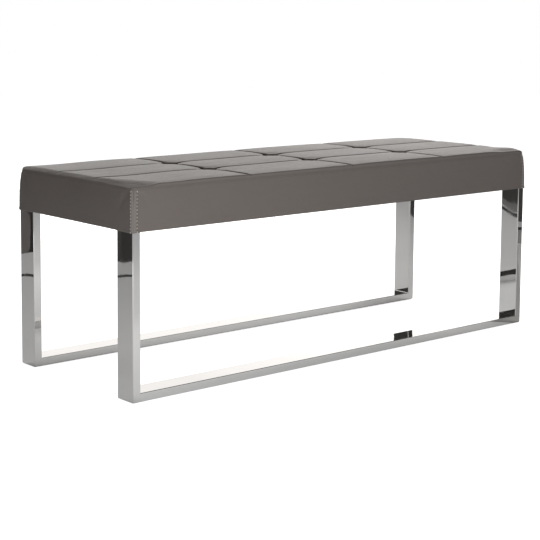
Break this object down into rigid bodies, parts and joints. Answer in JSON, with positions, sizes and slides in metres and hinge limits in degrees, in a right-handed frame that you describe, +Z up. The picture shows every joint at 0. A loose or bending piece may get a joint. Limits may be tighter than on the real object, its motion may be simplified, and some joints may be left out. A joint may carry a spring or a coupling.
{
  "type": "upholstered bench",
  "caption": "Backless bench with a flat tufted leatherette seat on two closed rectangular loops of polished flat tube.",
  "frame": {"origin": "centre of the bench on the floor, under the middle of the seat", "axes": "+X along the length to the right, +Y from front to rear, +Z up"},
  "size_m": [1.223, 0.4406, 0.4503],
  "materials": {
    "chrome": "polished",
    "leatherette": "satin",
    "foam": "matte",
    "plywood": "matte",
    "pine": "matte",
    "cambric": "matte",
    "twine": "matte",
    "nylon": "satin",
    "zinc": "satin"
  },
  "bodies": {
    "root": {"front_leg_left": "chrome", "front_leg_right": "chrome", "front_floor_rail": "chrome", "front_top_rail": "chrome", "rear_leg_left": "chrome", "rear_leg_right": "chrome", "rear_floor_rail": "chrome", "rear_top_rail": "chrome", "floor_glide_front_left": "nylon", "floor_glide_front_right": "nylon", "floor_glide_rear_left": "nylon", "floor_glide_rear_right": "nylon", "seat_board": "plywood", "batten_front": "pine", "batten_rear": "pine", "batten_left": "pine", "batten_right": "pine", "foam_pad": "foam", "top_panel_r1_c1": "leatherette", "top_panel_r1_c2": "leatherette", "top_panel_r1_c3": "leatherette", "top_panel_r1_c4": "leatherette", "top_panel_r2_c1": "leatherette", "top_panel_r2_c2": "leatherette", "top_panel_r2_c3": "leatherette", "top_panel_r2_c4": "leatherette", "top_panel_r3_c1": "leatherette", "top_panel_r3_c2": "leatherette", "top_panel_r3_c3": "leatherette", "top_panel_r3_c4": "leatherette", "boxing_front": "leatherette", "boxing_rear": "leatherette", "boxing_left": "leatherette", "boxing_right": "leatherette", "dust_cover": "cambric", "tuft_tie_r1_c1": "twine", "tuft_tie_r1_c2": "twine", "tuft_tie_r1_c3": "twine", "tuft_tie_r2_c1": "twine", "tuft_tie_r2_c2": "twine", "tuft_tie_r2_c3": "twine", "tuft_anchor_r1_c1": "nylon", "tuft_anchor_r1_c2": "nylon", "tuft_anchor_r1_c3": "nylon", "tuft_anchor_r2_c1": "nylon", "tuft_anchor_r2_c2": "nylon", "tuft_anchor_r2_c3": "nylon", "seat_bolt_front_1": "zinc", "seat_bolt_front_2": "zinc", "seat_bolt_front_3": "zinc", "seat_bolt_rear_1": "zinc", "seat_bolt_rear_2": "zinc", "seat_bolt_rear_3": "zinc", "tee_nut_front_1": "zinc", "tee_nut_front_2": "zinc", "tee_nut_front_3": "zinc", "tee_nut_rear_1": "zinc", "tee_nut_rear_2": "zinc", "tee_nut_rear_3": "zinc"}
  },
  "joints": []
}
